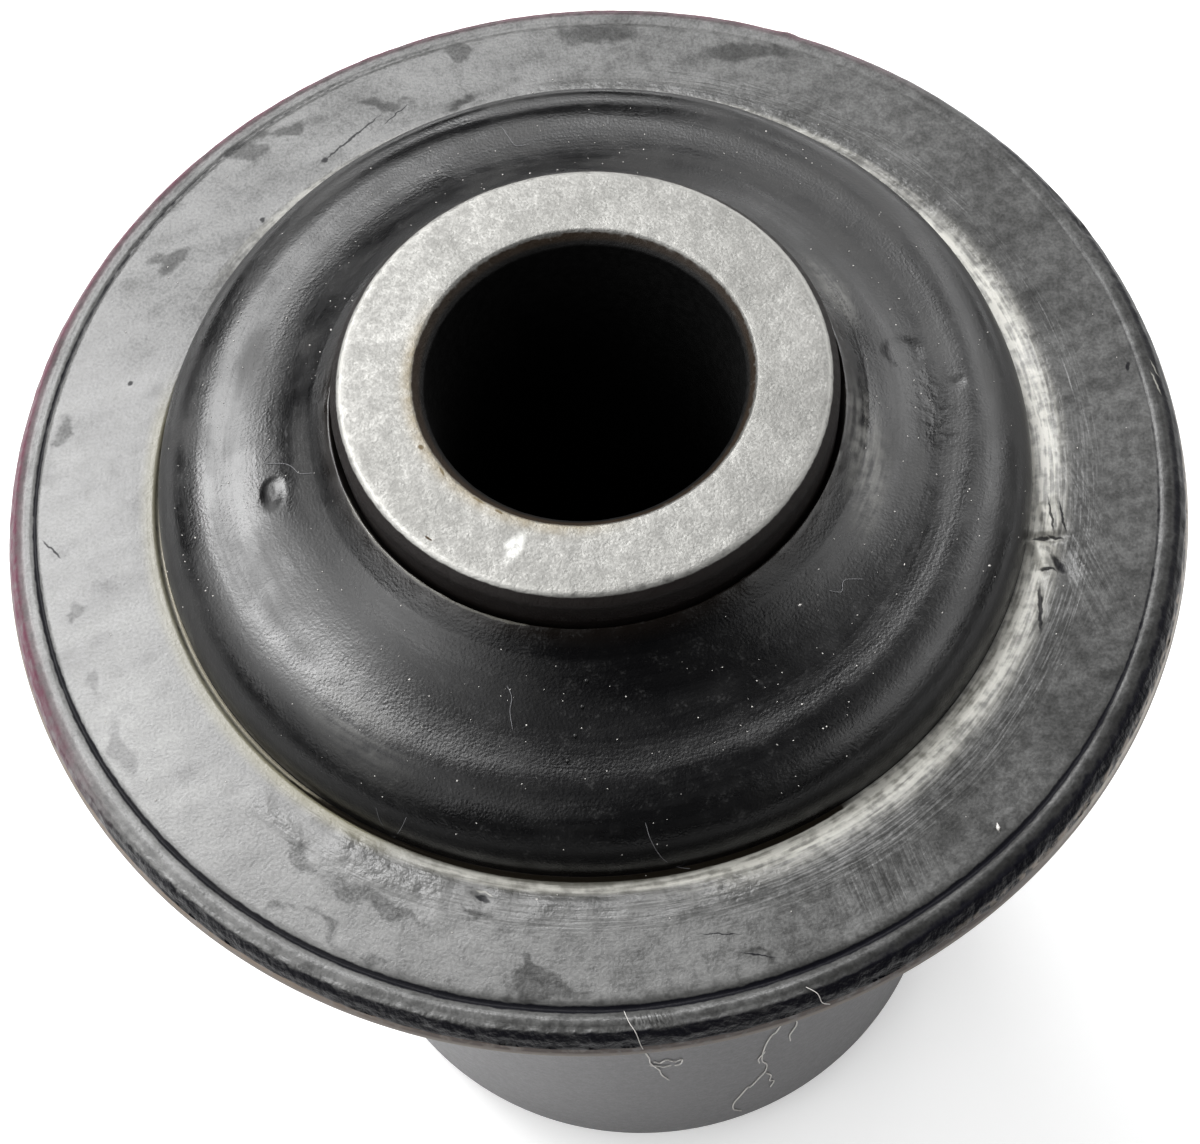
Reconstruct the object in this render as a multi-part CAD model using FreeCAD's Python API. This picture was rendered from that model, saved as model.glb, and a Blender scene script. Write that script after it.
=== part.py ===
import FreeCAD, Part
import math
import os

# A rubber and metal bush: a thick steel sleeve for a bolt, a drawn steel shell with a
# turned-out flange, and one rubber moulding bonded to both.
# Millimetres. +Z is up along the axis of the bore, and z = 0 is the sleeve's lower face.

# Inner sleeve
bore_diameter = 14.2
sleeve_wall = 4.2
bore_chamfer = 0.55
sleeve_edge_chamfer = 0.5
sleeve_above_flange = 8.05
sleeve_below_shell = 2.25

# Rubber between the sleeve and the shell
rubber_wall = 8.5

# Outer shell, drawn from sheet. Its barrel comes to 42 mm across.
sheet = 1.2
shell_length = 57.2
flange_width = 7.25
bend_radius = 1.0
lead_in_length = 1.2
lead_in_depth = 0.4

# Edge of the flange, sheared from the sheet: it leans in and its upper corner is rounded
edge_face = 0.6
edge_lean = 0.2
edge_roll = 0.75

# Rubber at the sleeve: a cone that ends in a thin edge beside a narrow crevice
sleeve_bare = 1.85
crevice_width = 0.28
crevice_depth = 0.9
collar_height = 0.15
collar_foot = 1.35
cone_angle = 30.0

# Rubber at the shell: the cone hollows out to a level crest, which rounds over into a
# flank that drops to a crease over the bend
crest_height = 3.85
hollow_radius = 7.2
shoulder_radius = 3.4
crease_angle = 64.0
crease_skin = 0.3

# Rubber on the flange: a rolled lip, a flat pad, a groove and a bead
pad_skin = 0.4
lip_width = 1.1
lip_roll = 0.4
lip_drop = 0.15
groove_inset = 1.7
groove_width = 0.42
groove_depth = 0.25
bead_width = 1.1
bead_roll = 0.7
bead_drop = 0.2
bead_foot = 0.4
bead_foot_drop = 0.55

# Lower end of the rubber, hidden in use
rubber_inset = 2.5
recess_depth = 2.0
recess_margin = 1.0

# Marks left on the cone by the mould, and the dent in the lip
marks_from_sleeve = 3.5
pip_angle = 187.0
pip_diameter = 1.1
pip_height = 0.25
crater_depth = 0.2
vent_angle = 6.0
vent_diameter = 1.6
vent_depth = 0.15
dent_angle = 339.0
dent_diameter = 1.8
dent_depth = 0.28
dent_from_crease = 1.1

# Radii and levels that the pieces share
bore_r = bore_diameter / 2
sleeve_r = bore_r + sleeve_wall
shell_inner_r = sleeve_r + rubber_wall
barrel_r = shell_inner_r + sheet
flange_r = barrel_r + flange_width
shell_bottom = sleeve_below_shell
flange_top = shell_bottom + shell_length
flange_under = flange_top - sheet
sleeve_top = flange_top + sleeve_above_flange
outer_bend_radius = bend_radius + sheet
rubber_edge = sleeve_top - sleeve_bare
cone_top = rubber_edge - collar_height
pad_top = flange_top + pad_skin

# A rounding takes at most this share of the shorter line beside its corner
rounding_share = 0.9

# Short cones that make up each side of the bend
bend_steps = 3


# Point over the bend, at a distance from the bend's centre. The angle is 0 at the
# barrel's wall and 90 at the flange.
def over_bend(distance, angle):
    turn = math.radians(angle)
    r = barrel_r + bend_radius - distance * math.cos(turn)
    z = flange_under - bend_radius + distance * math.sin(turn)
    return r, z


crease_r, crease_z = over_bend(outer_bend_radius + crease_skin, crease_angle)
crest_z = flange_top + crest_height

# The straight side of the cone would meet the level of the crest here
cone_fall = math.tan(math.radians(cone_angle))
hollow_r = sleeve_r + (cone_top - crest_z) / cone_fall
hollow_reach = hollow_radius * math.tan(math.radians(cone_angle / 2))
hollow_end_r = hollow_r + hollow_reach


# Height of the cone at a radius, on its straight side or in the hollow
def cone_height(r):
    if r < hollow_r - hollow_reach * math.cos(math.radians(cone_angle)):
        return cone_top - cone_fall * (r - sleeve_r)
    return crest_z + hollow_radius - math.sqrt(hollow_radius ** 2 - (hollow_end_r - r) ** 2)


# Direction square to the cone at a radius and an angle about the axis
def square_to_cone(r, angle):
    lean = min(math.asin((hollow_end_r - r) / hollow_radius), math.radians(cone_angle))
    turn = math.radians(angle)
    outward = math.sin(lean)
    return FreeCAD.Vector(outward * math.cos(turn), outward * math.sin(turn), math.cos(lean))


# Start, middle and end of the arc that rounds a corner
def rounding(before, corner, after, radius):
    back = before - corner
    on = after - corner
    room = rounding_share * min(back.Length, on.Length)
    back.normalize()
    on.normalize()
    half = back.getAngle(on) / 2
    reach = min(radius / math.tan(half), room)
    radius = reach * math.tan(half)
    inward = (back + on).normalize()
    centre = corner + inward * (radius / math.sin(half))
    return corner + back * reach, centre - inward * radius, corner + on * reach


# Closed outline of lines and tangent arcs, turned about the axis into a solid.
# Each corner is (radius, height) or (radius, height, rounding).
def turned(corners):
    points = [FreeCAD.Vector(corner[0], 0, corner[1]) for corner in corners]
    edges = []
    last = None
    first = None
    for i, corner in enumerate(corners):
        if len(corner) == 3:
            after = points[(i + 1) % len(points)]
            start, middle, end = rounding(points[i - 1], points[i], after, corner[2])
        else:
            start = middle = end = points[i]
        if last is None:
            first = start
        else:
            edges.append(Part.LineSegment(last, start).toShape())
        if start is not end:
            edges.append(Part.Arc(start, middle, end).toShape())
        last = end
    edges.append(Part.LineSegment(last, first).toShape())
    section = Part.Face(Part.Wire(edges))
    return section.revolve(FreeCAD.Vector(0, 0, 0), FreeCAD.Vector(0, 0, 1), 360)


def polar(r, angle, z):
    turn = math.radians(angle)
    return FreeCAD.Vector(r * math.cos(turn), r * math.sin(turn), z)


# One side of the bend as a run of short cones, from the flange down to the barrel's wall
def bend_side(radius):
    return [over_bend(radius, 90 * (1 - i / bend_steps)) for i in range(bend_steps + 1)]


# The bonded side. The shell and the rubber share it.
def bonded_bend():
    return bend_side(outer_bend_radius)


# The rounded upper corner of the flange's edge, from the bare face to the top of the sheet.
# The shell and the rubber share it too.
def flange_edge():
    return [
        (flange_r - edge_lean, flange_under + edge_face),
        (flange_r - edge_roll, flange_top),
    ]


def inner_sleeve():
    face_r = sleeve_r - sleeve_edge_chamfer
    mouth_r = bore_r + bore_chamfer
    return turned([
        (mouth_r, 0),
        (face_r, 0),
        (sleeve_r, sleeve_edge_chamfer),
        (sleeve_r, sleeve_top - sleeve_edge_chamfer),
        (face_r, sleeve_top),
        (mouth_r, sleeve_top),
        (bore_r, sleeve_top - bore_chamfer),
        (bore_r, bore_chamfer),
    ])


def outer_shell():
    return turned([
        (shell_inner_r, shell_bottom),
        (barrel_r - lead_in_depth, shell_bottom),
        (barrel_r, shell_bottom + lead_in_length),
    ] + bend_side(bend_radius)[::-1] + [
        (flange_r, flange_under),
    ] + flange_edge() + bonded_bend())


# Corners of the free surface from the sleeve out to the crease
def cone_corners():
    foot_r = sleeve_r + collar_foot
    return [
        (sleeve_r, rubber_edge - crevice_depth),
        (sleeve_r + crevice_width, rubber_edge),
        (foot_r, cone_height(foot_r)),
        (hollow_r, crest_z, hollow_radius),
        (crease_r, crest_z, shoulder_radius),
        (crease_r, crease_z),
    ]


# Corners of the free surface from the crease out to the bare metal edge
def pad_corners():
    groove_r = flange_r - groove_inset
    return [
        (crease_r + lip_roll, pad_top - lip_drop),
        (crease_r + lip_width, pad_top),
        (groove_r - groove_width / 2, pad_top),
        (groove_r, pad_top - groove_depth),
        (groove_r + groove_width / 2, pad_top),
        (flange_r - bead_width, pad_top),
        (flange_r - bead_roll, pad_top - bead_drop),
        (flange_r - bead_foot, pad_top - bead_foot_drop),
    ]


# Corners of the wall bonded to the barrel, and of the lower end
def lower_corners():
    lower_end = shell_bottom + rubber_inset
    ceiling = lower_end + recess_depth
    outer = shell_inner_r - recess_margin
    inner = sleeve_r + recess_margin
    return [
        (shell_inner_r, lower_end),
        (outer, lower_end),
        (outer - recess_depth / 2, ceiling),
        (inner + recess_depth / 2, ceiling),
        (inner, lower_end),
        (sleeve_r, lower_end),
    ]


# Stub of rubber left where the mould was filled, with a torn crater in its top
def gate_pip(r):
    place = polar(r, pip_angle, cone_height(r))
    up = square_to_cone(r, pip_angle)
    root = place - up * pip_height
    floor = place + up * (pip_height - crater_depth)
    stub = Part.makeCylinder(pip_diameter / 2, 2 * pip_height, root, up)
    crater = Part.makeCone(pip_diameter / 8, pip_diameter / 3, crater_depth, floor, up)
    return stub.cut(crater)


# Shallow round recess in the cone
def vent_mark(r):
    up = square_to_cone(r, vent_angle)
    floor = polar(r, vent_angle, cone_height(r)) - up * vent_depth
    return Part.makeCylinder(vent_diameter / 2, 3 * vent_depth, floor, up)


# Knock in the rolled lip, narrow at its floor
def lip_dent():
    floor = polar(crease_r + dent_from_crease, dent_angle, pad_top - dent_depth)
    return Part.makeCone(dent_diameter / 6, dent_diameter / 2, dent_depth, floor)


def rubber_body():
    free = cone_corners() + pad_corners()
    body = turned(free + flange_edge() + bonded_bend() + lower_corners())
    mark_r = sleeve_r + marks_from_sleeve
    body = body.fuse(gate_pip(mark_r))
    body = body.cut(vent_mark(mark_r))
    body = body.cut(lip_dent())
    return body.Solids[0]


os.makedirs("parts", exist_ok=True)
inner_sleeve().exportStep("parts/inner_sleeve.step")
outer_shell().exportStep("parts/outer_shell.step")
rubber_body().exportStep("parts/rubber_body.step")
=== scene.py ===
import math
import random

import bpy
import numpy as np
from mathutils import Matrix, Vector, noise


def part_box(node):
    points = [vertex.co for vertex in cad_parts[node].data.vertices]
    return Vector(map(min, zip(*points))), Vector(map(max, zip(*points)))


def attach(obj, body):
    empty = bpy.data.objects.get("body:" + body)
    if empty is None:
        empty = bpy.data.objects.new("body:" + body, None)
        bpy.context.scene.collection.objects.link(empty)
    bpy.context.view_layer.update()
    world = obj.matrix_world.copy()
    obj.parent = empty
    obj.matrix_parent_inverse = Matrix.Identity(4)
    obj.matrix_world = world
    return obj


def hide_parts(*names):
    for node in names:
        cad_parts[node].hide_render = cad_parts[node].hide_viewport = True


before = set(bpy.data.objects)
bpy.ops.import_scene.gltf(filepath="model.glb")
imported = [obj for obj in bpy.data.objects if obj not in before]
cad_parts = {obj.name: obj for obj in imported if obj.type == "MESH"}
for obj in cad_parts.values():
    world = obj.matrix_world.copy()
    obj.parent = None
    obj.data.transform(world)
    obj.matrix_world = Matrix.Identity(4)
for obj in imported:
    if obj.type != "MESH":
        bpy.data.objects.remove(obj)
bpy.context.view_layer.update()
print("frame loaded:", ", ".join(sorted(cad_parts)))

# Lengths below are in millimetres, as on the maker's drawing. Meshes are written in metres.
mm = 0.001
shellLow, shellHigh = (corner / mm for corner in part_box("outer_shell"))
sleeveLow, sleeveHigh = (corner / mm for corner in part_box("inner_sleeve"))
flangeTop = shellHigh.z
flangeEdge = shellHigh.x
sleeveTop = sleeveHigh.z
sleeveRadius = sleeveHigh.x


# Start, centre and end of the arc that rounds a corner of an outline. The arc takes at most a
# share of the shorter line beside the corner.
def roundedCorner(before, corner, after, radius, share=0.9):
    back = (before - corner) / np.linalg.norm(before - corner)
    on = (after - corner) / np.linalg.norm(after - corner)
    half = math.acos(np.clip(back @ on, -1, 1)) / 2
    room = share * min(np.linalg.norm(before - corner), np.linalg.norm(after - corner))
    reach = min(radius / math.tan(half), room)
    inward = (back + on) / np.linalg.norm(back + on)
    return corner + back * reach, corner + inward * (reach / math.cos(half)), corner + on * reach


# Rings (radius, height) of a turned piece. Each corner is (radius, height, rounding, spacing),
# and the spacing is that of the rings on the way to the next corner. A step along an arc is at
# most a share of its radius.
def ringsAlong(corners, arcShare=0.6):
    points = [np.array(corner[:2], float) for corner in corners]
    arcs = []
    for i, corner in enumerate(corners):
        after = points[(i + 1) % len(points)]
        if corner[2]:
            arcs.append(roundedCorner(points[i - 1], points[i], after, corner[2]))
        else:
            arcs.append((points[i], None, points[i]))
    rings = []
    for i, corner in enumerate(corners):
        start, centre, end = arcs[i]
        spacing = corner[3]
        rings.append(start)
        if centre is not None:
            first = math.atan2(start[1] - centre[1], start[0] - centre[0])
            turn = math.atan2(end[1] - centre[1], end[0] - centre[0]) - first
            turn = (turn + math.pi) % (2 * math.pi) - math.pi
            radius = np.linalg.norm(start - centre)
            steps = max(2, round(abs(turn) * radius / min(spacing, radius * arcShare)))
            for k in range(1, steps + 1):
                a = first + turn * k / steps
                rings.append(centre + radius * np.array([math.cos(a), math.sin(a)]))
        goal = arcs[(i + 1) % len(corners)][0]
        steps = max(1, round(np.linalg.norm(goal - end) / spacing))
        rings.extend(end + (goal - end) * k / steps for k in range(1, steps))
    return np.array(rings)


# Outward direction (radius, height) of each ring
def ringNormals(rings):
    along = np.roll(rings, -1, 0) - np.roll(rings, 1, 0)
    outward = np.column_stack([-along[:, 1], along[:, 0]])
    return outward / np.linalg.norm(outward, axis=1)[:, None]


# Smooth step from 0 at low to 1 at high
def rise(x, low, high):
    t = np.clip((x - low) / (high - low), 0, 1)
    return t * t * (3 - 2 * t)


def bell(x, width):
    return np.exp(-((x / width) ** 2))


# 1 between two radii, with soft ends
def band(r, low, high, soft):
    return rise(r, low - soft, low + soft) * (1 - rise(r, high - soft, high + soft))


# Degrees from one azimuth to another, from -180 to 180
def degreesFrom(azimuth, centre):
    return (azimuth - centre + 180) % 360 - 180


# How strongly an azimuth belongs to a sector (centre, reach, softness), all in degrees
def sectorShare(azimuth, centre, reach, soft):
    return 1 - rise(np.abs(degreesFrom(azimuth, centre)), reach, reach + soft)


def polarPoint(azimuth, radius, z):
    turn = math.radians(azimuth)
    return np.array([radius * math.cos(turn), radius * math.sin(turn), z])


# Azimuths of the spokes in radians. Each finer stretch is (centre, reach, times as dense).
def spokeAngles(count, finer=(), blend=4, samples=7201):
    azimuth = np.linspace(0, 360, samples)
    weight = np.ones(samples)
    for centre, reach, times in finer:
        away = np.abs(degreesFrom(azimuth, centre))
        weight += (times - 1) * (1 - rise(away, reach, reach + blend))
    total = np.concatenate([[0], np.cumsum((weight[1:] + weight[:-1]) / 2)])
    return np.radians(np.interp(np.arange(count) * total[-1] / count, total, azimuth))


# Turns the rings about the axis. lift is how far each point stands out, in millimetres.
def turnedPiece(name, rings, angles, lift):
    spokes = len(angles)
    normals = ringNormals(rings)
    radius = rings[:, :1] + normals[:, :1] * lift
    height = rings[:, 1:] + normals[:, 1:] * lift
    points = np.stack([radius * np.cos(angles), radius * np.sin(angles), height], -1)
    i, j = np.meshgrid(np.arange(len(rings)), np.arange(spokes), indexing="ij")
    iNext, jNext = (i + 1) % len(rings), (j + 1) % spokes
    quads = np.stack([i * spokes + j, iNext * spokes + j, iNext * spokes + jNext, i * spokes + jNext], -1)
    mesh = bpy.data.meshes.new(name)
    mesh.from_pydata((points.reshape(-1, 3) * mm).tolist(), [], quads.reshape(-1, 4).tolist())
    mesh.shade_smooth()
    piece = bpy.data.objects.new(name, mesh)
    bpy.context.scene.collection.objects.link(piece)
    return piece


# Writes a value for each point, for the materials
def paint(piece, name, values):
    attribute = piece.data.attributes.new(name, "FLOAT", "POINT")
    attribute.data.foreach_set("value", np.asarray(values, np.float32).ravel())


# Points of the smooth surface before its relief
def surfacePoints(rings, angles):
    x = rings[:, :1] * np.cos(angles)
    y = rings[:, :1] * np.sin(angles)
    return np.stack([x, y, np.repeat(rings[:, 1:], len(angles), 1)], -1)


# Smooth noise from -1 to 1 with lumps of a size in millimetres
def lumps(points, size, seed, seedStep=7.31):
    flat = points.reshape(-1, 3) / size + seed * seedStep
    return np.array([noise.noise(p) for p in flat.tolist()]).reshape(points.shape[:-1])


# Sum of several such noises: (share, size, seed)
def ripples(points, layers):
    return sum(share * lumps(points, size, seed) for share, size, seed in layers)


# A stroke or patch on the surface: 1 inside, 0 outside. The place is (azimuth, radius), the
# size (length, width), and the tilt is from the direction of rising azimuth towards outwards.
# A warp (around, outward) in millimetres makes its outline ragged.
def stroke(rings, angles, place, size, tilt, soft, warp=(0, 0)):
    turn = np.radians(degreesFrom(np.degrees(angles), place[0]))
    around = turn[None, :] * place[1] + warp[0]
    outward = rings[:, :1] - place[1] + 0 * around + warp[1]
    lean = math.radians(tilt)
    along = around * math.cos(lean) + outward * math.sin(lean)
    across = outward * math.cos(lean) - around * math.sin(lean)
    far = np.hypot(along / (size[0] / 2), across / (size[1] / 2))
    return 1 - rise(far, 1 - soft, 1 + soft)


# Sum of several strokes: (share, place, size, tilt, softness)
def strokes(rings, angles, rows):
    return sum(share * stroke(rings, angles, *row) for share, *row in rows)


# Sum of soft zones: (share, radii where it comes in, radii where it goes out, sector)
def zones(rings, angles, rows):
    r = rings[:, :1]
    azimuth = np.degrees(angles)[None, :]
    total = 0 * r * azimuth
    for share, inner, outer, sector in rows:
        total += share * rise(r, *inner) * (1 - rise(r, *outer)) * sectorShare(azimuth, *sector)
    return total


allRound = (0, 180, 12)  # a sector
toTheEdge = (29, 30)  # radii past the flange's edge
fromTheSleeve = (0, 1)  # radii inside the sleeve


# The rubber moulding

rubber = {
    "spokes": 600,
    "finer": [(337.5, 9, 2.6), (188, 4, 1.8)],  # azimuth, reach, times as dense
    "edgeHeight": 6.2,  # thin edge beside the sleeve, above the flange
    "crevice": (0.28, 0.9),  # width, depth
    "collar": (1.35, 0.15),  # reach, rise
    "coneAngle": 30.0,
    "crest": 3.85,
    "hollow": 7.2,
    "shoulder": 3.4,
    "crease": (20.6, 0.047),  # radius, height from the flange
    "padHeight": 0.4,
    "padStart": 0.01,  # past the crease
    "padLowest": -0.7,  # from the flange's top
    "lip": (0.7, 0.15, 1.4),  # roll, drop, width
    "closeRings": (26.1, 27.0),  # radii beside the groove
    "bead": [(27.15, 0.4), (27.55, 0.2), (27.85, -0.15)],
    "foot": (28.05, -0.6),
    "edgeTop": (27.5, 0.0),
    "lowerEnd": (2.5, 2.0, 1.0),  # inset, recess depth, margin
}

sheet = 1.2
bend = 1.0
shellRadius = 21.0
shellInner = shellRadius - sheet


def rubberUpperCorners():
    top = flangeTop
    creaseR, creaseZ = rubber["crease"]
    collar, collarRise = rubber["collar"]
    crest = top + rubber["crest"]
    fall = math.tan(math.radians(rubber["coneAngle"]))
    coneTop = top + rubber["edgeHeight"] - collarRise
    creviceWidth, creviceDepth = rubber["crevice"]
    pad = top + rubber["padHeight"]
    lipRoll, lipDrop, lipWidth = rubber["lip"]
    closeStart, closeEnd = rubber["closeRings"]
    (beadR, beadZ), (rollR, rollZ), (footR, footZ) = rubber["bead"]
    return [
        (sleeveRadius, top + rubber["edgeHeight"] - creviceDepth, 0, 0.25),
        (sleeveRadius + creviceWidth, top + rubber["edgeHeight"], 0.05, 0.2),
        (sleeveRadius + collar, coneTop - fall * collar, 0.8, 0.24),
        (sleeveRadius + (coneTop - crest) / fall, crest, rubber["hollow"], 0.21),
        (creaseR, crest, rubber["shoulder"], 0.2),
        (creaseR, top + creaseZ, 0.04, 0.09),
        (creaseR + lipRoll, pad - lipDrop, 0.25, 0.1),
        (creaseR + lipWidth, pad, 0.5, 0.26),
        (closeStart, pad, 0, 0.085),
        (closeEnd, pad, 0, 0.085),
        (beadR, top + beadZ, 0.4, 0.1),
        (rollR, top + rollZ, 0.4, 0.1),
        (footR, top + footZ, 0.4, 0.1),
    ]


def rubberLowerCorners():
    inset, depth, margin = rubber["lowerEnd"]
    end = shellLow.z + inset
    footR, footZ = rubber["foot"]
    edgeR, edgeZ = rubber["edgeTop"]
    return [
        (footR, flangeTop + footZ, 0, 1.0),
        (edgeR, flangeTop + edgeZ, 0, 8.0),
        (shellInner, flangeTop, sheet + bend, 12.0),
        (shellInner, end, 0, 0.5),
        (shellInner - margin, end, 0.3, 0.6),
        (shellInner - margin - depth / 2, end + depth, 0.8, 1.0),
        (sleeveRadius + margin + depth / 2, end + depth, 0.8, 0.6),
        (sleeveRadius + margin, end, 0.3, 0.5),
        (sleeveRadius, end, 0, 12.0),
    ]


groove = {
    "radius": 26.55,
    "wander": (0.05, 4.0, 21),  # reach, size of its lumps, seed
    # (azimuth, depth, width) round the rim
    "run": [
        (0, 0.06, 0.11), (45, 0.03, 0.15), (90, 0.04, 0.15), (135, 0.08, 0.12), (180, 0.13, 0.12),
        (225, 0.2, 0.16), (270, 0.26, 0.24), (300, 0.2, 0.18), (330, 0.1, 0.12), (360, 0.06, 0.11),
    ],
}


# Depth and width of the groove at each spoke
def grooveSizes(angles):
    turns, depths, widths = zip(*groove["run"])
    azimuth = np.degrees(angles)
    return np.interp(azimuth, turns, depths), np.interp(azimuth, turns, widths)


def grooveRelief(rings, angles, points):
    depth, width = grooveSizes(angles)
    away = rings[:, :1] - groove["radius"] - ripples(points, [groove["wander"]])
    return -depth * bell(away, width)


# How far the rubber stands out from its plain section. Sectors are (azimuth, reach, softness).
relief = {
    "levels": (-0.75, -0.45),  # it comes in over these heights from the flange
    "offSleeve": (0.0, 0.15),  # and over these distances from the sleeve
    "flank": (20.3, 20.6),  # radii where the dome gives way to the pad
    "dome": [(0.03, 5.0, 1), (0.008, 1.3, 2)],  # depth, size of the lumps, seed
    "pad": [(0.018, 3.5, 3), (0.008, 0.8, 4)],
    "beadStart": (27.1, 27.6),
    "bead": (0.02, 0.06),  # depth, and what the near side has more
    "beadLumps": (0.75, 5),  # size, seed
    "near": (268, 75),
    "left": (195, 40, 20),
    "lip": (0.92, 0.3, 22.2),  # share of its roll that is filled at the left, deepest, outer radius
    "lipStart": (20.8, 21.05),
    "flash": (0.06, 20.69, 0.06),  # height, radius, width
    "far": (88, 45),
    "farFlank": (0.35, (18.4, 19.2), (0.6, 1.4)),  # height, radii, levels
    # depth, (inner radius, outer radius, softness), sector, size of the lumps, seed
    "torn": [
        (0.03, (21.8, 22.7, 0.3), (40, 42, 15), 0.5, 7),
        (0.05, (21.3, 22.9, 0.4), (252, 22, 12), 0.7, 8),
    ],
    "feather": (0.4, 0.25),  # distance from the sleeve, width
    "featherLumps": (0.06, 0.8, 6),
}


# At the left the lip's roll is nearly filled, and a line of flash stands in the crease
def lipRelief(r, level, azimuth):
    share, deepest, end = relief["lip"]
    height, radius, width = relief["flash"]
    roll = np.clip(rubber["padHeight"] - level, 0, deepest) * (r < end)
    filled = share * roll * rise(r, *relief["lipStart"])
    return sectorShare(azimuth, *relief["left"]) * (filled + height * bell(r - radius, width))


def rubberRelief(rings, angles):
    points = surfacePoints(rings, angles)
    r, level = rings[:, :1], rings[:, 1:] - flangeTop
    azimuth = np.degrees(angles)[None, :]
    pad = rise(r, *relief["flank"])
    dome = 1 - pad
    lift = dome * ripples(points, relief["dome"]) + pad * ripples(points, relief["pad"])
    nearCentre, nearReach = relief["near"]
    depth, more = relief["bead"]
    ragged = depth + more * bell(degreesFrom(azimuth, nearCentre), nearReach)
    lift += rise(r, *relief["beadStart"]) * ragged * lumps(points, *relief["beadLumps"])
    lift += grooveRelief(rings, angles, points)
    lift += pad * lipRelief(r, level, azimuth)
    farCentre, farReach = relief["far"]
    height, radii, levels = relief["farFlank"]
    far = height * bell(degreesFrom(azimuth, farCentre), farReach)
    lift += far * dome * rise(r, *radii) * rise(level, *levels)
    for depth, radii, sector, size, seed in relief["torn"]:
        lift += depth * band(r, *radii) * sectorShare(azimuth, *sector) * lumps(points, size, seed)
    away, width = relief["feather"]
    lift += bell(r - sleeveRadius - away, width) * ripples(points, [relief["featherLumps"]])
    free = rise(level, *relief["levels"]) * rise(r - sleeveRadius, *relief["offSleeve"])
    return lift * free


marks = {
    "above": 0.03,  # lowest level from the flange
    # height, (azimuth, radius), (length, width), tilt, softness
    "dents": [
        (-0.2, (338.0, 22.25), (2.2, 1.1), 147, 0.7),
        (-0.2, (337.9, 22.3), (1.3, 0.5), 147, 0.6),
        (0.26, (338.3, 21.6), (2.1, 0.75), 144, 0.7),
        (-0.26, (341.0, 21.55), (1.5, 0.4), 78, 0.7),
        (0.11, (343.9, 21.3), (1.3, 0.28), 168, 0.7),
        (0.1, (344.4, 21.83), (1.6, 0.28), 170, 0.7),
        (0.08, (343.0, 22.45), (1.0, 0.3), 140, 0.7),
        (-0.12, (331.3, 22.0), (2.6, 0.25), 162, 0.6),
        (-0.12, (250.9, 22.1), (0.8, 0.4), 10, 0.6),
        (-0.14, (26.0, 27.5), (1.1, 0.5), 10, 0.7),
        (-0.14, (21.0, 27.55), (0.8, 0.5), -10, 0.7),
        (0.08, (61.8, 27.45), (0.9, 0.5), 0, 0.7),
        (-0.1, (359.0, 17.0), (0.7, 0.3), 80, 0.6),
    ],
    # left by the mould
    "pip": (0.16, (187.5, 14.7), (1.4, 0.85), 8, 0.35),
    "roundMark": (-0.09, (5.5, 14.8), (1.7, 1.7), 0, 0.15),
}


def markRelief(rings, angles):
    upper = rings[:, 1:] > flangeTop + marks["above"]
    return upper * strokes(rings, angles, marks["dents"] + [marks["pip"], marks["roundMark"]])


# 1 inside the crease, where the dome's material is
def insideCrease(rings, angles):
    return (rings[:, :1] < rubber["crease"][0] + rubber["padStart"]) * np.ones(len(angles))


domePaint = {
    "feather": (11.62, 0.2),  # radius, width
    "featherShares": (0.5, 0.4, (225, 22, 12)),  # all round, more in a sector
    "crest": (18.6, 20.0, 0.5),
    "flank": (0.9, (20.2, 20.45)),  # share of the painted shine taken away on the flank as painted shade, radii
    # (azimuth, share of the reflection), for the cone and for the crest: painted highlight and shade,
    # stronger or weaker on each side as the light falls
    "paintedShine": [
        (0, 1.0), (30, 0.65), (60, 0.55), (90, 0.45), (120, 0.45), (150, 0.48), (180, 0.7), (200, 0.82),
        (220, 0.85), (235, 0.5), (255, 0.2), (275, 0.2), (290, 0.4), (305, 0.65), (330, 1.0), (360, 1.0),
    ],
    "crestPaintedShine": [
        (0, 0.7), (90, 0.55), (150, 0.65), (180, 1.0), (205, 0.6), (222, 0.3), (240, 0.2), (256, 0.6),
        (270, 0.72), (290, 1.0), (315, 1.0), (335, 0.8), (360, 0.7),
    ],
    "scuff": 0.4,
    "scuffLumps": [(0.45, 4.0, 31), (0.35, 1.6, 32)],
    "sweeps": (0.5, 3.0, 0.7, 37),  # share, turns, width, seed
    "nearShade": (0.6, (275, 50, 20)),  # share of the scuffs taken away on the near side as painted shade, sector
    "scuffMost": 1.2,
    # pale patches that are painted reflections
    "paintedReflection": [
        (1.0, (341.1, 12.7), (5.4, 1.5), 165, 0.9),
        (0.6, (21.2, 12.8), (3.4, 1.2), 0, 0.9),
        (0.25, (227, 17.6), (6.0, 2.2), 20, 0.9),
    ],
}
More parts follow.
